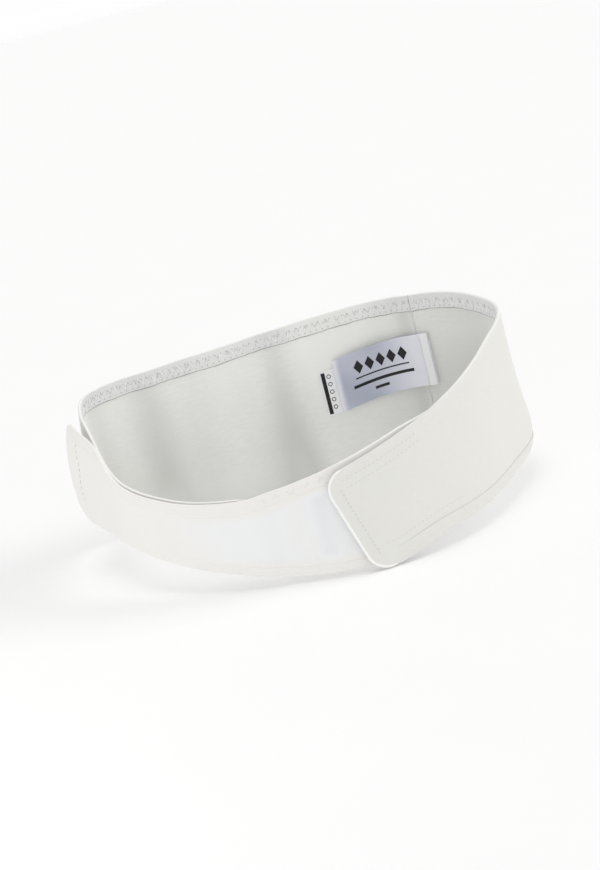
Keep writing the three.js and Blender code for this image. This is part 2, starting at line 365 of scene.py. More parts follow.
def bell(away, reach):
    """1 at the middle, falling on both sides as a bell."""
    return np.exp(-((away / reach) ** 2))


def bell_at(along, height, at, reach):
    """A bell of a height and a reach, about one place."""
    return height * bell(along - at, reach)


def place(along, up, out):
    """The same point in the frame, moved outwards by the slack, the creases, the left side's lean and the right
    side's bow, and inwards by the left rim's tuck. All three are bells along the belt. The lean grows below the rim
    from the rim's share, by a falling exponential. The bow is half a sine wave of a power of the depth below the
    rim, so it is widest a little above the foot. The tuck grows with the square of the height."""
    along, up = np.asarray(along, float), np.asarray(up, float)
    below = np.maximum(line("top", along) - up, 0.0)
    lean = bell_at(along, *SIDE_LEAN) * (1.0 - (1.0 - SIDE_LEAN_RIM) * np.exp(-below / SIDE_LEAN_FALL))
    tuck = bell_at(along, *RIM_TUCK) * (up / line("top", along)) ** 2
    from_rim = np.clip(below / (line("top", along) - line("bottom", along)), 0.0, 1.0)
    bow = bell_at(along, *RIGHT_BOW) * np.sin(math.pi * from_rim**RIGHT_BOW_POWER)
    away = slack(along % GIRTH, up) + crease_move(along, up) + lean - tuck + bow
    return smooth_place(along, up, out + away) + SHIFT


def ease(distance, reach):
    """0 at and beyond reach, easing to 1 where the distance is 0."""
    t = np.clip(np.asarray(distance, float) / reach, 0.0, 1.0)
    return 1.0 - t * t * (3.0 - 2.0 * t)


def corner_cut(distance, radius):
    """How much a round corner takes off the edge, at a distance from the piece's end."""
    inside = np.clip(radius - np.asarray(distance, float), 0.0, radius)
    return radius - np.sqrt(radius * radius - inside * inside)


# ---- ribs: heights, distance out and slant at each length along the belt


def band_rib(along):
    """The main band's ribs stand upright on the middle surface, from its lower edge to its rim."""
    along = np.asarray(along, float)
    low, high = line("bottom", along), line("top", along)
    return {
        "along": along,
        "low": low,
        "high": high,
        "out": np.zeros_like(along),
        "slant": np.zeros_like(along),
        "middle": (low + high) / 2,
        "bow": np.zeros_like(along),
        "half": (high - low) / 2,
        "hem": np.full_like(along, BOTTOM_HEM),
    }


TAB_OUT = BAND_WALL + 2 * TAPE_WALL + 3 * LAYER_GAP
PANEL_OUT = BAND_WALL + CLOSE_GAP
TAPE_STEP = BAND_WALL / 2 + LAYER_GAP + TAPE_WALL / 2
TAPE_PITCH = TAPE_WALL + LAYER_GAP
TAB_TIP = GIRTH - TAB_END


def right_rib(along):
    """The right band drifts outwards and downwards into the tab and takes up the slant of the tab's end."""
    rib = band_rib(along)
    to_end = TAB_TIP - rib["along"]
    rib["out"] = TAB_OUT * ease(GIRTH - PANEL_RIGHT - EDGE_SETBACK - rib["along"], TAB_RUN_IN)
    rib["slant"] = TAB_SLANT * ease(to_end, TAB_SLANT_LENGTH)
    rib["high"] -= TAB_DROP_TOP * ease(to_end, TAB_DROP_LENGTH)
    rib["low"] = rib["low"] * (1.0 - ease(to_end, TAB_DROP_LENGTH)) + bell_at(to_end, *TAB_FOOT)
    rib["hem"] += TAB_HEM_GROWTH * ease(to_end, TAB_HEM_LENGTH)
    return rib


def panel_rib(along):
    """The front panel lies over the left band's inner end, closes onto the loop's own line beyond it, and stands off
    at its free left end. Its rim drops at the tab and swells up behind its free end."""
    rib = band_rib(along)
    along = rib["along"]
    to_end = PANEL_LEFT - along
    rib["out"] = PANEL_OUT * ease(INNER_END - EDGE_SETBACK - along, INNER_END / 2)
    rib["out"] += PANEL_STAND_OFF * ease(to_end, PANEL_STAND_LENGTH)
    rib["bow"] = PANEL_END_BOW * ease(to_end, PANEL_BOW_LENGTH)
    rib["low"] += PANEL_END_LIFT * ease(to_end, PANEL_LIFT_LENGTH)
    rib["low"] += bell_at(along, *PANEL_FOOT)
    rib["high"] = (
        rib["high"]
        + PANEL_END_RISE * ease(to_end, PANEL_RISE_LENGTH)
        - PANEL_RIM_DROP * ease(INNER_END + 4.0 - along, INNER_END / 2)
        + bell_at(along, *PANEL_SWELL)
        - PANEL_RIGHT_DROP * ease(along + PANEL_RIGHT, PANEL_RIGHT_DROP_LENGTH)
    )
    return rib


def from_rib(rib, up, out):
    """A point at a height on a rib, out from the rib's own surface: the slant moves it along by its height, and the
    bow moves it outwards by a parabola over the height."""
    from_middle = up - rib["middle"]
    bulge = rib["bow"] * (1.0 - (from_middle / rib["half"]) ** 2)
    return place(rib["along"] + rib["slant"] * from_middle, up, rib["out"] + bulge + out)


def spaced(start, end, pitch, ends=2.0):
    """Lengths from start to end, a pitch apart, with closer ones inside the last few millimetres of each end."""
    inner = np.linspace(start + ends, end - ends, max(3, int((end - start) / pitch)))
    near = ends * (1.0 - np.cos(np.linspace(0.0, math.pi / 2, END_STOPS + 1)[:-1]))
    return np.concatenate([start + near, inner, (end - near)[::-1]])


# ---- meshes


def shell(rings):
    """A closed skin through rings of points, one ring for each step along, each closed on itself. Both ends are
    filled across, from a ring's first half to its second half."""
    steps, around, _ = rings.shape
    ring = np.arange(around)
    after = (ring + 1) % around
    base = (np.arange(steps - 1) * around)[:, None]
    sides = np.stack([base + ring, base + around + ring, base + around + after, base + after], axis=-1)
    half = np.arange(around // 2 - 1)
    first = np.stack([half, half + 1, around - 2 - half, around - 1 - half], axis=-1)
    last = first[:, ::-1] + (steps - 1) * around
    return rings.reshape(-1, 3), np.concatenate([sides.reshape(-1, 4), first, last])


def two_faced(inner, outer, cloth):
    """A closed body between two grids of points, with the same cloth places on both of its faces."""
    points, faces = shell(np.concatenate([inner, outer[:, ::-1]], axis=1))
    return points, faces, np.concatenate([cloth, cloth[:, ::-1]], axis=1).reshape(-1, 3)


def new_piece(name, bodies, cloth_name, lining=None):
    """One object from closed bodies of (points, faces, cloth places), joined in one mesh, in metres. The cloth
    places become its UV map, metres along the belt and metres up, and the tone attribute. A face that looks into the
    loop takes the lining where there is one: its normal is against the line from the loop's middle."""
    points, faces, cloth, count = [], [], [], 0
    for body_points, body_faces, body_cloth in bodies:
        points.append(body_points)
        faces.append(body_faces + count)
        cloth.append(body_cloth)
        count += len(body_points)
    points = np.concatenate(points) * MM
    faces = np.concatenate(faces).astype(np.int32)
    cloth = np.concatenate(cloth)
    mesh = bpy.data.meshes.new(name)
    mesh.vertices.add(len(points))
    mesh.vertices.foreach_set("co", points.ravel())
    mesh.loops.add(faces.size)
    mesh.loops.foreach_set("vertex_index", faces.ravel())
    mesh.polygons.add(len(faces))
    mesh.polygons.foreach_set("loop_start", np.arange(0, faces.size, 4, dtype=np.int32))
    mesh.polygons.foreach_set("use_smooth", np.ones(len(faces), dtype=bool))
    layer = mesh.uv_layers.new(name="cloth")
    layer.data.foreach_set("uv", (cloth[:, :2] * MM)[faces.ravel()].ravel())
    tone = mesh.attributes.new("tone", "FLOAT", "POINT")
    tone.data.foreach_set("value", cloth[:, 2].astype(np.float32))
    mesh.update(calc_edges=True)
    mesh.validate()
    mesh.materials.append(CLOTH[cloth_name])
    if lining:
        corners = points[faces]
        normal = np.cross(corners[:, 2] - corners[:, 0], corners[:, 3] - corners[:, 1])
        looks_in = (normal[:, :2] * corners.mean(axis=1)[:, :2]).sum(axis=1) < 0.0
        mesh.materials.append(CLOTH[lining])
        mesh.polygons.foreach_set("material_index", looks_in.astype(np.int32))
    piece = bpy.data.objects.new(name, mesh)
    bpy.context.scene.collection.objects.link(piece)
    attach(piece, "root")
    return piece


def strip(rib, wall, rows, out=0.0, pucker=0.0, cloth_from_edge=False, tone_of=painted_crease_shading):
    """A closed strip of cloth along its ribs. Its cross-section is two flat faces, a wall apart, joined by half
    circles at the lower and upper edge. The wall thins to a round rim at both ends of the strip."""
    out = np.broadcast_to(np.asarray(out, float), rib["along"].shape)[:, None]
    radius = wall / 2
    turn = np.radians([15.0, 45.0, 75.0])
    share = np.linspace(0.0, 1.0, rows)
    low_part = np.concatenate([radius * (1 - np.cos(turn)), np.full(rows, radius), np.full(3, radius)])
    lift = np.concatenate([np.zeros(3), share, np.ones(3)])
    high_part = np.concatenate([np.zeros(3), np.zeros(rows), radius * np.sin(turn)])
    width = np.concatenate([np.sin(turn), np.ones(rows), np.cos(turn)])
    low, high = rib["low"][:, None], rib["high"][:, None]
    up = low + low_part + (high - low - 2 * radius) * lift + high_part
    along = rib["along"]
    from_end = np.minimum(along - along[0], along[-1] - along)
    thin = np.sqrt(np.clip(1 - (1 - np.clip(from_end / radius, 0, 1)) ** 2, 0.01, 1))[:, None]
    wave = pucker * np.sin(along / 1.31 + 0.6 * np.sin(along / 5.0))[:, None] * (1 - lift)
    flat = {key: value[:, None] for key, value in rib.items()}
    inner = from_rib(flat, up, out + wave - radius * width * thin)
    outer = from_rib(flat, up, out + wave + radius * width * thin)
    height = (high - up) if cloth_from_edge else up
    cloth = np.stack(np.broadcast_arrays(along[:, None], height, tone_of(along[:, None], up)), axis=-1)
    return two_faced(inner, outer, cloth)


def tube(centre, outward, radius, sides=6):
    """A thread or roll along a line of points: at each point a ring of the radius, in the plane across the line,
    turned so that it keeps to the outward direction. The ends are filled."""
    ahead = unit(np.gradient(centre, axis=0))
    across = unit(np.cross(ahead, outward))
    away = np.cross(across, ahead)
    angle = (np.arange(sides) * 2 * math.pi / sides)[:, None]
    radius = np.broadcast_to(radius, len(centre))[:, None, None]
    rings = centre[:, None] + radius * (np.cos(angle) * across[:, None] + np.sin(angle) * away[:, None])
    points, faces = shell(rings[:, ::-1])
    round_it = np.tile(np.linspace(0, 1, sides), len(centre))
    cloth = np.stack([np.repeat(lengths_to(centre), sides), round_it, np.zeros(len(points))], axis=-1)
    return points, faces, cloth


def outward_at(along):
    """The level direction out of the loop at each length along the belt."""
    return unit(np.stack([line("out_x", along), line("out_y", along), np.zeros_like(along)], axis=-1))


def zigzag(rib_of, start, end, near, far, out, side, depth=0.35, pitch=ZIGZAG_PITCH, radius=THREAD_RADIUS):
    """Zigzag stitches below a top edge: the thread's height is a triangle wave between near and far below the edge,
    and it dives into the cloth at each turn. Slow waves make the stitches as uneven as sewn ones."""
    turns = int((end - start) / pitch * 2)
    phase = np.linspace(0.0, turns, turns * 8 + 1)
    along = start + (end - start) * phase / turns + 0.55 * np.sin(phase * 1.9) * np.minimum(1.0, phase / 4)
    wave = np.abs((phase % 2) - 1) * (1.0 + 0.16 * np.sin(phase * 0.83))
    dive = np.abs(2 * (phase % 1) - 1) ** 6
    rib = rib_of(along)
    up = rib["high"] - near - (far - near) * wave
    sunk = depth * dive + 0.85 * radius * (1.0 + np.sin(phase * 1.37)) * (1.0 - dive)
    centre = from_rib(rib, up, out + side * (radius * 0.6 - sunk))
    return tube(centre, outward_at(along) * side, radius)


def running(rib_of, along, up, out, side, pitch=STITCH_PITCH, radius=THREAD_RADIUS):
    """Straight stitches along a line: the thread rises above the cloth and dives under it once each pitch, by a
    cosine, and shows for about half of it."""
    length = lengths_to(from_rib(rib_of(along), up, out))
    steps = max(2, int(length[-1] / pitch)) * 10 + 1
    at = np.linspace(0.0, length[-1], steps)
    along = np.interp(at, length, along)
    up = np.interp(at, length, up)
    rise = np.cos(2 * math.pi * at / pitch)
    centre = from_rib(rib_of(along), up, out + side * radius * (1.5 * rise - 0.7))
    return tube(centre, outward_at(along) * side, radius)


# ---- materials


def value_of(tree, node, name, value):
    """Sets a socket to a number or colour, or joins it to another socket."""
    socket = node.inputs[name]
    if isinstance(value, bpy.types.NodeSocket):
        tree.links.new(value, socket)
    else:
        socket.default_value = value


def maths(tree, operation, one, two=0.0, three=0.0, clamp=False):
    node = tree.nodes.new("ShaderNodeMath")
    node.operation = operation
    node.use_clamp = clamp
    for index, value in enumerate((one, two, three)):
        value_of(tree, node, index, value)
    return node.outputs[0]


def blend_colours(tree, share, *colours):
    """One colour with a share of another. Each is a socket, or its red, green and blue."""
    node = tree.nodes.new("ShaderNodeMix")
    node.data_type = "RGBA"
    value_of(tree, node, 0, share)
    for index, colour in zip((6, 7), colours):
        value_of(tree, node, index, (*colour, 1.0) if isinstance(colour, tuple) else colour)
    return node.outputs[2]


def spread_noise(tree, vector, stretch, scale, detail=2.0, roughness=0.5):
    """Noise over stretched places: vector times stretch, at a scale."""
    mapping = tree.nodes.new("ShaderNodeVectorMath")
    mapping.operation = "MULTIPLY"
    value_of(tree, mapping, 0, vector)
    value_of(tree, mapping, 1, stretch)
    noise = tree.nodes.new("ShaderNodeTexNoise")
    value_of(tree, noise, "Vector", mapping.outputs[0])
    value_of(tree, noise, "Scale", scale)
    value_of(tree, noise, "Detail", detail)
    value_of(tree, noise, "Roughness", roughness)
    return noise.outputs["Fac"]


def effect_group(name, place_name, numbers, outputs):
    """An empty shader node group: its inputs are a place and named numbers, with their first values, and its outputs
    are named numbers."""
    group = bpy.data.node_groups.new(name, "ShaderNodeTree")
    group.interface.new_socket(name=place_name, in_out="INPUT", socket_type="NodeSocketVector")
    for title, start in numbers.items():
        group.interface.new_socket(name=title, in_out="INPUT", socket_type="NodeSocketFloat").default_value = start
    for title in outputs:
        group.interface.new_socket(name=title, in_out="OUTPUT", socket_type="NodeSocketFloat")
    return group, group.nodes.new("NodeGroupInput").outputs, group.nodes.new("NodeGroupOutput").inputs


# The knit's courses and wales, and a needle mark's reach, in millimetres
COURSE = 0.75
WALE = 0.62
MARK_REACH = 0.75


def places_of(group, cloth_place):
    """The two measures of a cloth place, along the belt and up the cloth, in millimetres."""
    parts = group.nodes.new("ShaderNodeSeparateXYZ")
    group.links.new(cloth_place, parts.inputs[0])
    return [maths(group, "MULTIPLY", parts.outputs[index], 1 / MM) for index in (0, 1)]


def fine_knit():
    """Fine warp knit on cloth places: short level dashes in courses, thin upright wales, and a little fuzz. Height
    and shade both come from them."""
    numbers = {"Dash length": 5.0, "Course pitch": 1.1}
    group, given, gives = effect_group("fine_knit", "Cloth place", numbers, ["Height", "Shade"])
    along, up = places_of(group, given["Cloth place"])
    join = group.nodes.new("ShaderNodeCombineXYZ")
    group.links.new(maths(group, "DIVIDE", along, given["Dash length"]), join.inputs[0])
    group.links.new(maths(group, "DIVIDE", up, given["Course pitch"]), join.inputs[1])
    dashes = spread_noise(group, join.outputs[0], (1.0, 1.0, 1.0), 1.0, 3.0, 0.62)
    course = maths(group, "SINE", maths(group, "MULTIPLY", up, 2 * math.pi / COURSE))
    wale = maths(group, "SINE", maths(group, "MULTIPLY", along, 2 * math.pi / WALE))
    rows = maths(group, "MULTIPLY_ADD", maths(group, "MULTIPLY", course, wale), 0.1, 0.5)
    height = maths(group, "MULTIPLY_ADD", dashes, 0.7, maths(group, "MULTIPLY", rows, 0.3))
    group.links.new(height, gives["Height"])
    shade = maths(group, "MULTIPLY_ADD", maths(group, "SUBTRACT", dashes, 0.5), 2.2, 0.5, clamp=True)
    group.links.new(shade, gives["Shade"])
    return group


def worn_cloth():
    """Broad soft patches on object places, 20 to 60 mm across, where washed cloth is a little greyer or warmer."""
    group, given, gives = effect_group("worn_cloth", "Object place", {}, ["Patch", "Speckle"])
    patch = spread_noise(group, given["Object place"], (1.0, 1.0, 1.4), 22.0, 2.0, 0.5)
    speckle = spread_noise(group, given["Object place"], (1.0, 1.0, 1.0), 900.0, 2.0, 0.6)
    group.links.new(patch, gives["Patch"])
    group.links.new(speckle, gives["Speckle"])
    return group


def needle_marks():
    """Painted shade in the holes where a zigzag's thread dives into the hem: small dark marks, a pitch apart, near and
    far from the edge.
    """
    numbers = {"Pitch": ZIGZAG_PITCH, "Near": BACK_STITCH_NEAR, "Far": BACK_STITCH_FAR}
    group, given, gives = effect_group("needle_marks", "Cloth place", numbers, ["Mark"])
    along, down = places_of(group, given["Cloth place"])
    turns = maths(group, "DIVIDE", along, given["Pitch"])
    marks = []
    for offset, line_down in ((0.0, given["Near"]), (0.5, given["Far"])):
        cell = maths(group, "FRACT", maths(group, "ADD", turns, offset))
        beside = maths(group, "MULTIPLY", maths(group, "SUBTRACT", cell, 0.5), given["Pitch"])
        below = maths(group, "SUBTRACT", down, line_down)
        squares = [maths(group, "POWER", distance, 2.0) for distance in (beside, below)]
        away = maths(group, "SQRT", maths(group, "ADD", *squares))
        marks.append(maths(group, "SUBTRACT", 1.0, maths(group, "DIVIDE", away, MARK_REACH), clamp=True))
    group.links.new(maths(group, "MAXIMUM", marks[0], marks[1]), gives["Mark"])
    return group


KNIT = fine_knit()
WORN = worn_cloth()
MARKS = needle_marks()


def placed(tree, group, **values):
    """One use of an effect group in a material, with its own values. An underscore stands for a space."""
    node = tree.nodes.new("ShaderNodeGroup")
    node.node_tree = group
    for name, value in values.items():
        value_of(tree, node, name.replace("_", " "), value)
    return node.outputs


# The colour of the painted shade in the needle holes
NEEDLE_HOLE_SHADE = (0.38, 0.39, 0.4)
BUMP_HEIGHT = 0.0006
CLOTH = {}


def new_cloth(
    name, *colours, roughness=0.88, sheen=0.12, dash=5.0, course=1.1, bump=0.1, marks=False, shade=0.5, painted_shade_colour=None,
    painted_light_and_bare_pile=None
):
    """A cloth from its light, dark and patch colours, each as red, green and blue. Its colour runs from dark to light
    with the knit's shade, takes some of the patch colour in broad soft patches, and the knit's height feeds a bump.
    Where the tone is above 0 it takes the painted shade colour, and below 0 the painted light colour, which on the loop
    pile is also the colour of its bare edge."""
    light, dark, patch = colours[:3], colours[3:6], colours[6:]
    material = bpy.data.materials.new(name)
    material.use_nodes = True
    tree = material.node_tree
    shader = tree.nodes["Principled BSDF"]
    cloth_place = tree.nodes.new("ShaderNodeUVMap")
    cloth_place.uv_map = "cloth"
    object_place = tree.nodes.new("ShaderNodeTexCoord")
    knit = placed(tree, KNIT, Cloth_place=cloth_place.outputs[0], Dash_length=dash, Course_pitch=course)
    worn = placed(tree, WORN, Object_place=object_place.outputs["Object"])
    colour = blend_colours(tree, maths(tree, "MULTIPLY_ADD", knit["Shade"], shade, 1.0 - shade), dark, light)
    share = maths(tree, "MULTIPLY_ADD", worn["Patch"], 1.6, -0.5, clamp=True)
    colour = blend_colours(tree, maths(tree, "MULTIPLY", share, 0.5), colour, patch)
    # The tone attribute paints shade and light into the colour here
    tone = tree.nodes.new("ShaderNodeAttribute")
    tone.attribute_name = "tone"
    for toned, side in ((painted_shade_colour, 1.0), (painted_light_and_bare_pile, -1.0)):
        if toned:
            share = maths(tree, "MULTIPLY", tone.outputs["Fac"], side, clamp=True)
            colour = blend_colours(tree, share, colour, toned)
    height = maths(tree, "MULTIPLY_ADD", worn["Speckle"], 0.25, knit["Height"])
    # Needle marks: painted shade in the holes, and a dip in the bump
    if marks:
        mark = placed(tree, MARKS, Cloth_place=cloth_place.outputs[0])["Mark"]
        colour = blend_colours(tree, maths(tree, "MULTIPLY", mark, 0.8), colour, NEEDLE_HOLE_SHADE)
        height = maths(tree, "SUBTRACT", height, mark)
    relief = tree.nodes.new("ShaderNodeBump")
    value_of(tree, relief, "Strength", bump)
    value_of(tree, relief, "Distance", BUMP_HEIGHT)
    value_of(tree, relief, "Height", height)
    tree.links.new(relief.outputs[0], shader.inputs["Normal"])
    tree.links.new(colour, shader.inputs["Base Color"])
    shader.inputs["Roughness"].default_value = roughness
    shader.inputs["Sheen Weight"].default_value = sheen
    shader.inputs["Sheen Roughness"].default_value = 0.5
    shader.inputs["Specular IOR Level"].default_value = 0.25
    CLOTH[name] = material


# Each cloth's light, dark and patch colours, and what sets it apart from plain cloth
# Some cloths also take a colour of painted shade, for the creases, the lining's foot and the label's shadow side, and a
# colour of painted light, for the swells and the rim; the loop pile's painted light colour is also the colour of its
# bare edge
new_cloth("belt_cloth", 0.81, 0.80, 0.763, 0.755, 0.755, 0.718, 0.775, 0.785, 0.745, bump=0.2, painted_light_and_bare_pile=(0.90, 0.89, 0.86))
new_cloth(
    "panel_cloth", 0.88, 0.865, 0.832, 0.83, 0.82, 0.788, 0.855, 0.848, 0.815, bump=0.2, painted_light_and_bare_pile=(0.92, 0.91, 0.88)
)
new_cloth(
    "lining_cloth", 0.885, 0.89, 0.86, 0.775, 0.785, 0.75, 0.83, 0.84, 0.805, dash=8.0, course=2.1, bump=0.45,
    shade=0.65, painted_shade_colour=(0.655, 0.66, 0.63), painted_light_and_bare_pile=(0.94, 0.945, 0.915)
)
new_cloth(
    "hem_cloth", 0.90, 0.90, 0.885, 0.66, 0.67, 0.67, 0.84, 0.845, 0.84, dash=1.3, bump=0.7, marks=True,
    shade=0.8, painted_shade_colour=(0.79, 0.795, 0.79), painted_light_and_bare_pile=(0.92, 0.92, 0.90)
)
new_cloth("plain_hem_cloth", 0.80, 0.79, 0.755, 0.745, 0.745, 0.71, 0.77, 0.775, 0.74, bump=0.2)
new_cloth("panel_hem_cloth", 0.87, 0.855, 0.825, 0.82, 0.81, 0.78, 0.845, 0.838, 0.81, bump=0.2)
# The tab's rolled edge: real rolled cloth, made paler to paint a highlight along it
new_cloth("rolled_edge_painted_highlight", 0.95, 0.945, 0.925, 0.90, 0.895, 0.875, 0.93, 0.925, 0.905, dash=2.0, bump=0.15)
new_cloth(
    "loop_pile", 0.88, 0.884, 0.892, 0.835, 0.84, 0.847, 0.865, 0.869, 0.875, dash=0.7, course=0.6, bump=0.3,
    painted_shade_colour=(0.76, 0.775, 0.80), painted_light_and_bare_pile=(0.865, 0.855, 0.825)
)
new_cloth(
    "hook_tape", 0.85, 0.85, 0.83, 0.7, 0.7, 0.68, 0.82, 0.82, 0.8, roughness=0.6, sheen=0.0, dash=0.8,
    course=0.8, bump=0.5
)
new_cloth(
    "label_satin", 0.86, 0.86, 0.92, 0.77, 0.77, 0.85, 0.80, 0.80, 0.88, roughness=0.42, sheen=0.1, dash=9.0,
    course=0.35, bump=0.12, painted_shade_colour=(0.46, 0.49, 0.59)
)
new_cloth(
    "fold_satin", 0.92, 0.92, 0.94, 0.84, 0.84, 0.87, 0.88, 0.88, 0.91, roughness=0.45, sheen=0.1, dash=6.0,
    course=0.4, bump=0.12
)
THREAD = {"roughness": 0.5, "sheen": 0.0, "dash": 0.9, "course": 0.3, "bump": 0.2}
new_cloth("hem_thread", 0.68, 0.68, 0.675, 0.42, 0.42, 0.42, 0.53, 0.53, 0.53, **THREAD)
new_cloth("grey_thread", 0.74, 0.735, 0.71, 0.56, 0.56, 0.54, 0.66, 0.66, 0.64, **THREAD)
# The dark roll under the back hem, a painted shadow in its groove
new_cloth("hem_groove_shadow_dark", 0.44, 0.44, 0.42, 0.28, 0.28, 0.27, 0.36, 0.36, 0.345, **{**THREAD, "roughness": 0.6})
new_cloth("white_thread", 0.96, 0.96, 0.95, 0.82, 0.82, 0.82, 0.92, 0.92, 0.92, **THREAD)
new_cloth(
    "label_ink", 0.02, 0.02, 0.022, 0.012, 0.012, 0.012, 0.02, 0.02, 0.02, roughness=0.5, sheen=0.0, dash=3.0,
    course=0.4, bump=0.1
)


# ---- the pieces of cloth

# The CAD box of the left band tells where the belt's own origin lies.
left_stretch = np.array([INNER_END, SEAM - LAYER_GAP / 2])
probe = np.linspace(left_stretch[0], left_stretch[1], 2000)
probe_rib = band_rib(probe)
probe_points = np.concatenate(
    [smooth_place(probe, probe_rib[edge], side) for edge in ("low", "high") for side in (-1.0, 1.0)]
)
band_box = np.array(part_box("left_band"))
SHIFT = (band_box.mean(axis=0) / MM) - (probe_points.min(axis=0) + probe_points.max(axis=0)) / 2


def cornered(rib_of, start, end, top_radius, bottom_radius):
    """The ribs of a piece from its start to its end, with round corners at its end. They follow the larger one."""
    radius = max(top_radius, bottom_radius)
    corner = end - radius * (1.0 - np.cos(np.linspace(0.0, math.pi / 2, CORNER_STOPS)))[::-1]
    rib = rib_of(np.concatenate([spaced(start, end - radius, RIB_PITCH)[: -END_STOPS - 1], corner]))
    to_end = end - rib["along"]
    rib["low"] += corner_cut(to_end, bottom_radius)
    rib["high"] -= corner_cut(to_end, top_radius)
    return rib


def back_hem_foot(along):
    """How far below the rim the inner hem ends: its width, with the uneven edge that the zigzag draws in."""
    return BACK_HEM + 0.1 * np.sin(along / 1.7) + 0.16 * np.sin(along / 4.3 + 1.0) + 0.25 * np.sin(along / 13.0)


def top_hem(rib, width):
    return {**rib, "low": rib["high"] - width, "high": rib["high"] - EDGE_SETBACK}


def bottom_hem(rib):
    return {**rib, "low": rib["low"] + EDGE_SETBACK, "high": rib["low"] + rib["hem"]}


def field(rib):
    """The field between the two hems."""
    return {**rib, "low": rib["low"] + BOTTOM_HEM + LAYER_GAP, "high": rib["high"] - TOP_HEM - LAYER_GAP}


def pressed(side, proud):
    """Where a pressed hem's middle lies, so that its face stands proud of the band's face by that much."""
    return side * (BAND_WALL / 2 + np.asarray(proud, float) - SEWN_WALL / 2)


def dressed(node, body, cloth_name, lining=None):
    """The soft piece that stands in a CAD node's place, with its material slot."""
    piece = new_piece("belt_" + node, [body], cloth_name, lining)
    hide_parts(node)
    return piece


def main_band(node, rib):
    """A length of the main band, with the lining on its inside."""
    body = strip(rib, BAND_WALL, BAND_ROWS, tone_of=lining_tone)
    return dressed(node, body, "belt_cloth", "lining_cloth")


def inner_hem(node, rib):
    """The hem along the rim, turned to the inside, whose foot is drawn in by its zigzag."""
    hem = top_hem(rib, back_hem_foot(rib["along"]))
    body = strip(hem, SEWN_WALL, INNER_HEM_ROWS, pressed(-1, HEM_PROUD), HEM_PUCKER, True, hem_tone)
    return dressed(node, body, "hem_cloth")


def outer_hem(node, rib, proud, cloth_name):
    """The hem along a lower edge, on the outside."""
    body = strip(bottom_hem(rib), SEWN_WALL, OUTER_HEM_ROWS, pressed(1, proud))
    return dressed(node, body, cloth_name)


# The main band, left of the back seam
left_along = spaced(left_stretch[0], left_stretch[1], RIB_PITCH)
left_rib = band_rib(left_along)
left_rib["low"] += bell_at(left_along, *HIDDEN_FOOT)
left_rib["high"] -= INNER_END_DROP * ease(left_along - INNER_END, INNER_END_LENGTH)
left_band = main_band("left_band", left_rib)
left_top = inner_hem("left_top_hem", left_rib)
left_bottom = outer_hem("left_bottom_hem", left_rib, 0.3, "plain_hem_cloth")

# The main band, right of the back seam, with the tab, whose hem sinks into the cloth towards the tab's end
right_start = SEAM + LAYER_GAP / 2
right_cut = cornered(right_rib, right_start, TAB_TIP, TAB_TOP_CORNER, TAB_BOTTOM_CORNER)
right_band = main_band("right_band", right_cut)
right_hem_rib = right_rib(spaced(right_start, TAB_TIP - TAB_TOP_CORNER, RIB_PITCH))
right_top = inner_hem("right_top_hem", right_hem_rib)
right_hem_proud = 0.75 - 0.85 * ease(right_hem_rib["along"][-1] - right_hem_rib["along"], 30.0)
right_bottom = outer_hem("right_bottom_hem", right_hem_rib, right_hem_proud, "plain_hem_cloth")

# The front panel, whose hems lie flatter towards the tab
panel_cut = cornered(panel_rib, -PANEL_RIGHT, PANEL_LEFT, PANEL_TOP_CORNER, PANEL_BOTTOM_CORNER)


def panel_tone(along, up):
    """A painted highlight at the very rim, and plain below it."""
    return -painted_rim_highlight(up, panel_cut["high"][:, None])


front_panel = dressed(
    "front_panel", strip(panel_cut, BAND_WALL, PANEL_ROWS, tone_of=panel_tone), "panel_cloth"
)
panel_hem_rib = panel_rib(spaced(-PANEL_RIGHT, PANEL_LEFT - PANEL_TOP_CORNER, RIB_PITCH))
panel_high_proud = 0.04 + 0.32 * ease(panel_hem_rib["along"] - 25.0, 80.0)
panel_top = dressed(
    "panel_top_hem",
    strip(top_hem(panel_hem_rib, TOP_HEM), SEWN_WALL, PANEL_HEM_ROWS, pressed(1, panel_high_proud)),
    "panel_hem_cloth",
)
panel_low_rib = panel_rib(spaced(-PANEL_RIGHT, PANEL_LEFT - PANEL_BOTTOM_CORNER, RIB_PITCH))
panel_low_proud = 0.36 * ease(panel_low_rib["along"] - 45.0, 60.0) - 0.12
panel_bottom = outer_hem("panel_bottom_hem", panel_low_rib, panel_low_proud, "panel_hem_cloth")

# The closure: the loop field, and the hook tapes inside the tab and the panel's end
field_rib = field(panel_rib(spaced(-PANEL_RIGHT + EDGE_SETBACK, LOOP_FIELD_LEFT, RIB_PITCH)))
field_proud = 0.13 - 0.07 * ease(LOOP_FIELD_LEFT - field_rib["along"], 30.0)


def field_tone(along, up):
    """-1 at the field's left and upper and lower edges, where its pile thins out, easing to the creases' painted shade
    and light inside.
    """
    thin_left = ease(LOOP_FIELD_LEFT - along + 3.0 * np.sin(up / 7.0), 50.0)
    thin_high = ease(field_rib["high"][:, None] - up, 6.0)
    thin_low = ease(up - field_rib["low"][:, None], 6.0)
    thin = 1.0 - (1.0 - thin_left) * (1.0 - thin_high) * (1.0 - thin_low)
    return painted_crease_shading(along, up) * (1.0 - thin) - thin


def hook_patch(node, rib_of, end, proud):
    """Hook tape inside a piece's end, and its ribs."""
    rib = field(rib_of(spaced(end - HOOK_MARGIN - HOOK_LENGTH, end - HOOK_MARGIN, HOOK_PITCH)))
    return dressed(node, strip(rib, SEWN_WALL, HOOK_ROWS, pressed(-1, proud)), "hook_tape"), rib


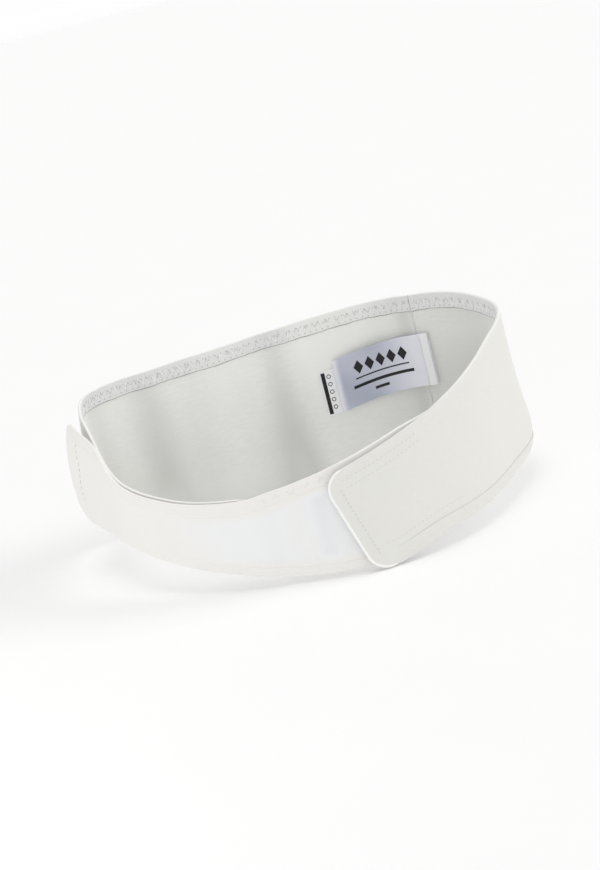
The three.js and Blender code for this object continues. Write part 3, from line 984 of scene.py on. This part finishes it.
field_body = strip(field_rib, SEWN_WALL, FIELD_ROWS, pressed(1, field_proud), tone_of=field_tone)
loop_field = dressed("loop_patch", field_body, "loop_pile")
tab_hooks, tab_hook_rib = hook_patch("tab_hook_patch", right_rib, TAB_TIP, 0.3)
panel_hooks, panel_hook_rib = hook_patch("panel_hook_patch", panel_rib, PANEL_LEFT, 0.25)

# The labels inside the back, sewn in just past the seam: the sizes, drop, layer and bow of each
LABEL_SEWN = SEAM + LABEL_LAP
MAIN_LABEL = {"height": LABEL_HEIGHT, "drop": 0.0, "layer": 1, "bow": LABEL_BOW}
CARE_LABEL = {"height": CARE_HEIGHT, "drop": LABEL_HEIGHT - CARE_HEIGHT, "layer": 0, "bow": 0.0}


def label_rib(along, height, drop, layer, bow, proud=0.0):
    """A label's ribs at any length along the belt: it droops with the square of the length from its sewn end, and
    bows away from the cloth by half a sine wave. proud is how far from its middle they lie."""
    rib = band_rib(along)
    from_end = (LABEL_SEWN - rib["along"]) / LABEL_LENGTH
    rib["high"] = rib["high"] - LABEL_TOP_DROP - drop - LABEL_DROOP * np.minimum(1.0, from_end**2)
    rib["low"] = rib["high"] - height
    rib["out"] = -(TAPE_STEP + layer * TAPE_PITCH + bow * np.sin(math.pi * from_end) + proud)
    return rib


def label_tone(along, up):
    """The satin's shadow side: full over the label's left but for its pale selvage, easing off to its sewn end."""
    from_end = (LABEL_SEWN - along) / LABEL_LENGTH
    selvage = 1.0 - ease(along - (LABEL_SEWN - LABEL_LENGTH) - 1.5, 4.0)
    return (1.0 - ease(from_end - 0.1, 0.55)) * selvage * (0.85 + 0.15 * np.sin(up / 9.0 + along / 14.0))


def label(node, length, kind, rows, cloth_name, tone_of=painted_crease_shading):
    """A label of a length up to its sewn end, and its ribs."""
    rib = label_rib(spaced(LABEL_SEWN - length, LABEL_SEWN, 1.5, 1.0), **kind)
    return dressed(node, strip(rib, TAPE_WALL, rows, tone_of=tone_of), cloth_name), rib


main_label, main_rib = label("main_label", LABEL_LENGTH, MAIN_LABEL, LABEL_ROWS, "label_satin", label_tone)
label_fold, _ = label("label_fold", LABEL_FOLD, {**MAIN_LABEL, "layer": 2}, LABEL_ROWS, "fold_satin")
care_label, care_rib = label("care_label", CARE_LENGTH, CARE_LABEL, CARE_ROWS, "fold_satin")


# ---- sewing


def inner_stitches(name, stretches, near, far, cloth_name, **thread):
    """A zigzag on the inner hem's face, along each stretch of ribs."""
    face = -(BAND_WALL / 2 + HEM_PROUD)
    return new_piece(name, [zigzag(*stretch, near, far, face, -1, **thread) for stretch in stretches], cloth_name)


def hem_groove_shadow(rib_of, start, end):
    """Painted shadow in the groove under the inner hem: a thin dark roll that keeps to the hem's uneven foot."""
    along = np.linspace(start, end, int((end - start) / 0.7))
    rib = rib_of(along)
    centre = from_rib(rib, rib["high"] - back_hem_foot(along) - 0.12, -(BAND_WALL / 2 + 0.02))
    radius = 0.42 + 0.08 * np.sin(along / 5.1) + 0.04 * np.sin(along / 1.3)
    return tube(centre, -outward_at(along), radius)


def sewn_up(rib_of, along, above, less, side, **thread):
    """Straight stitches up the cloth, from a height above its foot, over its own height less a length."""
    rib = rib_of(along)
    share = np.linspace(0.0, 1.0, len(along))
    up = rib["low"] + above + share * (rib["high"] - rib["low"] - less)
    return running(rib_of, along, up, side * BAND_WALL / 2, side, **thread)


def sewn_along(start, end, steps, edge, above, **thread):
    """Straight stitches along the tab's outside, from one length to another, at a height above one of its edges."""
    along = np.linspace(TAB_TIP - start, TAB_TIP - end, steps)
    return running(right_rib, along, right_rib(along)[edge] + above, BAND_WALL / 2, 1, **thread)


back_zigzag = inner_stitches(
    "belt_back_hem_stitches",
    [(band_rib, INNER_END + 4, SEAM - 1.2), (right_rib, SEAM + 1.2, TAB_TIP - 20.0)],
    BACK_STITCH_NEAR,
    BACK_STITCH_FAR,
    "white_thread",
    radius=0.4,
)
back_under_thread = inner_stitches(
    "belt_back_hem_under_thread",
    [(band_rib, INNER_END + 5.6, SEAM - 2.4), (right_rib, SEAM + 2.6, TAB_TIP - 21.0)],
    BACK_STITCH_NEAR - 0.1,
    7.9,
    "hem_thread",
    depth=0.5,
    pitch=3.5,
    radius=0.22,
)
back_hem_groove_shadow = new_piece(
    "belt_back_hem_groove_shadow",
    [hem_groove_shadow(band_rib, INNER_END + 4, SEAM - 1.0), hem_groove_shadow(right_rib, SEAM + 1.0, TAB_TIP - 18.0)],
    "hem_groove_shadow_dark",
)
panel_zigzag = new_piece(
    "belt_panel_hem_stitches",
    [zigzag(panel_rib, -PANEL_RIGHT + 20, 24.0, 2.8, 6.4, BAND_WALL / 2 + 0.32, 1, radius=0.13)],
    "grey_thread",
)

# The tab's stitches: the end line, the hook tape's lower line, and the hem's two lines, which show through
tab_end_line = sewn_up(right_rib, np.full(40, TAB_TIP - 8.0), 9.0, 20.0, 1, pitch=3.1, radius=0.32)
tab_low_line = sewn_along(16.0, HOOK_LENGTH, 80, "low", 16.0, pitch=3.4, radius=0.17)
tab_high_lines = [sewn_along(12.0, 60.0, 60, "high", -down, pitch=3.3, radius=0.12) for down in (7.0, 12.5)]
tab_stitches = new_piece("belt_tab_stitches", [tab_end_line, tab_low_line], "grey_thread")
tab_hem_stitches = new_piece("belt_tab_hem_stitches", tab_high_lines, "hem_thread")

# A grey roll that paints the shade in the soft crease along the top of the right band's lower hem, which fades towards
# the tab's end
crease_along = np.linspace(right_start + 2.0, TAB_TIP - TAB_TOP_CORNER - 6.0, 420)
crease_rib = right_rib(crease_along)
crease_up = crease_rib["low"] + crease_rib["hem"] + 0.1
crease_fade = 1.0 - ease(crease_along[-1] - crease_along, 26.0)
crease_centre = from_rib(crease_rib, crease_up, BAND_WALL / 2 + 0.12 - 0.3 * (1.0 - crease_fade))
hem_crease_shade_line = new_piece(
    "belt_right_hem_crease_shade",
    [tube(crease_centre, outward_at(crease_along), 0.22 + 0.14 * crease_fade)],
    "grey_thread",
)

# The rolled edge round the tab's end, in a paler cloth that also paints its highlight
corner = {key: right_cut[key][-CORNER_STOPS:] for key in ("along", "low", "high")}
roll_top = corner["high"] - EDGE_ROLL * 0.6
roll_low = corner["low"][::-1] + EDGE_ROLL
down_the_end = np.linspace(0.0, 1.0, 30)[1:-1]
roll_up = np.concatenate([roll_top, roll_top[-1] + (roll_low[0] - roll_top[-1]) * down_the_end, roll_low])
roll_along = np.concatenate([corner["along"], np.full(len(down_the_end), TAB_TIP), corner["along"][::-1]])
roll_along = roll_along - EDGE_ROLL * 0.6
roll_centre = from_rib(right_rib(roll_along), roll_up, 0.5)
roll_radius = EDGE_ROLL * np.sqrt(np.clip(np.sin(np.linspace(0.02, math.pi - 0.02, len(roll_up))) * 6.0, 0.0, 1.0))
tab_edge = new_piece("belt_tab_edge_roll", [tube(roll_centre, outward_at(roll_along), roll_radius, 10)], "rolled_edge_painted_highlight")

# The panel's end line, the seam's stitches and the labels' sewn ends
panel_end_along = PANEL_LEFT - 19.0 + 1.1 * np.sin(np.linspace(0.0, 1.0, 40) * 9.0)
panel_end_line = sewn_up(panel_rib, panel_end_along, 21.0, 27.0, 1, pitch=4.6, radius=0.24)
panel_end_stitches = new_piece("belt_panel_end_stitches", [panel_end_line], "hem_thread")
seam_line = sewn_up(band_rib, np.full(60, SEAM - 2.5), 3.0, TOP_HEM + 5.0, -1, radius=0.2)
seam_stitches = new_piece("belt_seam_stitches", [seam_line], "white_thread")


def on_label(along):
    """The main label's upper face."""
    return label_rib(along, **MAIN_LABEL, proud=TAPE_WALL / 2)


def on_care_label(along):
    """The care label's upper face."""
    return label_rib(along, **CARE_LABEL, proud=TAPE_WALL / 2)


label_end_at = np.full(40, LABEL_SEWN - LABEL_FOLD - 0.9)
label_end_up = on_label(label_end_at)["high"] - 1.5 - np.linspace(0.0, 1.0, 40) * (LABEL_HEIGHT - 3.0)
label_end_line = running(on_label, label_end_at, label_end_up, 0.0, -1, pitch=2.4, radius=0.2)
label_stitches = new_piece("belt_label_stitches", [label_end_line], "grey_thread")


# ---- the labels' plain marks, all simple shapes

INK_WALL = 0.12


def ink_patch(rib_of, along, up):
    """A thin raised patch over a grid of places on a label: the grid, lifted by the ink's wall."""
    rib = rib_of(along)
    cloth = np.stack([along, up, np.zeros_like(up)], axis=-1)
    return two_faced(from_rib(rib, up, -INK_WALL), from_rib(rib, up, 0.05), cloth)


def bar(rib_of, from_end, down, length, height):
    """A plain bar: from its left end, by lengths from the sewn end and down from the label's upper edge."""
    across, fall = np.meshgrid(np.linspace(0, 1, 16), np.linspace(0, 1, 5), indexing="ij")
    along = LABEL_SEWN - from_end + across * length
    return ink_patch(rib_of, along, rib_of(along)["high"] - down - height * fall)


def mark_about(rib_of, from_end, down, across, rise):
    """A plain mark about its middle, from grids of how far across it and above it each place lies."""
    middle = np.full_like(across, LABEL_SEWN - from_end)
    return ink_patch(rib_of, middle + across, rib_of(middle)["high"] - down + rise)


def lozenge(rib_of, from_end, down, length, height):
    """A plain lozenge about its middle: a square grid turned by an eighth of a turn."""
    one, two = np.meshgrid(np.linspace(-1, 1, 9), np.linspace(-1, 1, 9), indexing="ij")
    return mark_about(rib_of, from_end, down, (one + two) * length / 4, (one - two) * height / 4)


def ring_mark(rib_of, from_end, down, radius, wall):
    """A plain ring about its middle: a band between two circles."""
    angle, share = np.meshgrid(np.linspace(0, 2 * math.pi, 25), np.linspace(0, 1, 3), indexing="ij")
    reach = radius - wall * share
    return mark_about(rib_of, from_end, down, reach * np.sin(angle), reach * np.cos(angle))


marks = [lozenge(on_label, 62.0 - 9.5 * step, 12.5, 8.0, 11.0) for step in range(5)]
marks.append(bar(on_label, 66.0, 20.5, 46.0, 1.0))
marks.append(bar(on_label, 69.0, 26.0, 52.0, 2.4))
marks.append(bar(on_label, 52.0, 32.5, 12.0, 2.2))
marks.append(bar(on_care_label, CARE_LENGTH - 1.2, 1.2, 3.2, CARE_HEIGHT - 2.4))
marks += [ring_mark(on_care_label, CARE_LENGTH - 7.2, 5.0 + 6.2 * step, 1.7, 0.5) for step in range(5)]
label_marks = new_piece("belt_label_marks", marks, "label_ink")


# ---- the floor, light and camera

FLOOR_RADIUS = 40.0
FLOOR_RINGS = 24
FLOOR_SPOKES = 48


def floor_disc(radius, rings, spokes):
    """A level disc: rings that widen with the square of their number, and a spoke grid round it."""
    reach = radius * (np.linspace(0.002, 1.0, rings) ** 2)[:, None]
    angle = np.linspace(0.0, 2 * math.pi, spokes, endpoint=False)[None, :]
    points = np.stack([reach * np.cos(angle), reach * np.sin(angle), np.zeros((rings, spokes))], axis=-1)
    ring = np.arange(spokes)
    after = (ring + 1) % spokes
    base = (np.arange(rings - 1) * spokes)[:, None]
    quads = np.stack([base + ring, base + spokes + ring, base + spokes + after, base + after], -1)
    return points.reshape(-1, 3), quads.reshape(-1, 4)


def floor_material():
    """Pale matt paper with the faintest mottle."""
    material = bpy.data.materials.new("pale_floor")
    material.use_nodes = True
    tree = material.node_tree
    place_node = tree.nodes.new("ShaderNodeTexCoord")
    mottle = spread_noise(tree, place_node.outputs["Object"], (1.0, 1.0, 1.0), 9.0)
    colour = blend_colours(tree, mottle, (0.93, 0.93, 0.93), (0.95, 0.95, 0.95))
    shader = tree.nodes["Principled BSDF"]
    tree.links.new(colour, shader.inputs["Base Color"])
    shader.inputs["Roughness"].default_value = 0.9
    shader.inputs["Specular IOR Level"].default_value = 0.1
    shader.inputs["Emission Color"].default_value = (1.0, 1.0, 1.0, 1.0)
    shader.inputs["Emission Strength"].default_value = 0.08
    return material


disc_points, disc_faces = floor_disc(FLOOR_RADIUS, FLOOR_RINGS, FLOOR_SPOKES)
disc = bpy.data.meshes.new("floor")
disc.from_pydata(disc_points.tolist(), [], disc_faces.tolist() + [list(range(FLOOR_SPOKES))])
disc.materials.append(floor_material())
floor = bpy.data.objects.new("floor", disc)
bpy.context.scene.collection.objects.link(floor)


def stood(name, data, columns):
    """A lamp or camera in the scene, by its own right, up and backward directions and its place."""
    holder = bpy.data.objects.new(name, data)
    holder.matrix_world = Matrix(np.vstack([np.column_stack(columns), [0, 0, 0, 1]]).tolist())
    bpy.context.scene.collection.objects.link(holder)
    return holder


def level_aim(back, position):
    """The directions and place of a lamp that shines against its backward direction, held level."""
    right = unit(np.cross((0.0, 0.0, 1.0), back))
    return right, np.cross(back, right), back, position


def soft_sun(name, direction, strength, softness, colour=(1.0, 1.0, 1.0)):
    """Broad even light from a direction, as from a large diffuser: its angle sets how soft the shadows are."""
    light = bpy.data.lights.new(name, "SUN")
    light.energy = strength
    light.angle = math.radians(softness)
    light.color = colour
    back = unit(np.array(direction))
    stood(name, light, level_aim(back, back * 3.0))


def low_panel_light(name, position, aim, size, power):
    """A low wide strip of light beside the belt: it reaches the outside only, under the rim."""
    light = bpy.data.lights.new(name, "AREA")
    light.shape = "RECTANGLE"
    light.size, light.size_y = size
    light.energy = power
    back = unit(np.array(position) - np.array(aim))
    stood(name, light, level_aim(back, position)).visible_camera = False


def studio_world():
    """Even pale light from all round, a little brighter in a band at the horizon so that it meets the floor."""
    world = bpy.data.worlds.new("studio")
    world.use_nodes = True
    tree = world.node_tree
    direction = tree.nodes.new("ShaderNodeTexCoord")
    parts = tree.nodes.new("ShaderNodeSeparateXYZ")
    tree.links.new(direction.outputs["Generated"], parts.inputs[0])
    height = maths(tree, "ABSOLUTE", parts.outputs[2])
    share = maths(tree, "SUBTRACT", 1.0, maths(tree, "MULTIPLY", height, 5.0), clamp=True)
    strength = maths(tree, "MULTIPLY_ADD", share, HORIZON_LIGHT - SKY_LIGHT, SKY_LIGHT)
    sky = tree.nodes["Background"]
    sky.inputs["Color"].default_value = (1.0, 1.0, 1.0, 1.0)
    tree.links.new(strength, sky.inputs["Strength"])
    bpy.context.scene.world = world


soft_sun("key_right", (1.0, -0.1, 0.6), 0.65, 30.0, (1.0, 0.99, 0.97))
soft_sun("top", (0.0, -0.15, 1.0), 0.36, 25.0)
low_panel_light("low_left", (-0.42, -0.36, 0.04), (-0.06, -0.06, 0.03), (0.5, 0.06), 0.27)
studio_world()
bpy.context.scene.view_settings.view_transform = "Standard"


def belt_camera():
    """The camera stands back and up by its tilt, moved by its own right and up, and rolled about its view."""
    tilt, roll = math.radians(CAMERA_TILT), math.radians(CAMERA_ROLL)
    right = np.array([1.0, 0.0, 0.0])
    up = np.array([0.0, math.sin(tilt), math.cos(tilt)])
    back = np.array([0.0, -math.cos(tilt), math.sin(tilt)])
    position = (back * CAMERA_DISTANCE + right * CAMERA_RIGHT + up * CAMERA_UP) * MM
    rolled_right = right * math.cos(roll) - up * math.sin(roll)
    rolled_up = right * math.sin(roll) + up * math.cos(roll)
    camera = bpy.data.cameras.new("camera")
    camera.sensor_fit = "AUTO"
    camera.sensor_width = 36.0
    camera.lens = CAMERA_LENS
    camera.clip_start = 0.05
    camera.clip_end = 200.0
    bpy.context.scene.camera = stood("camera", camera, (rolled_right, rolled_up, back, position))


belt_camera()
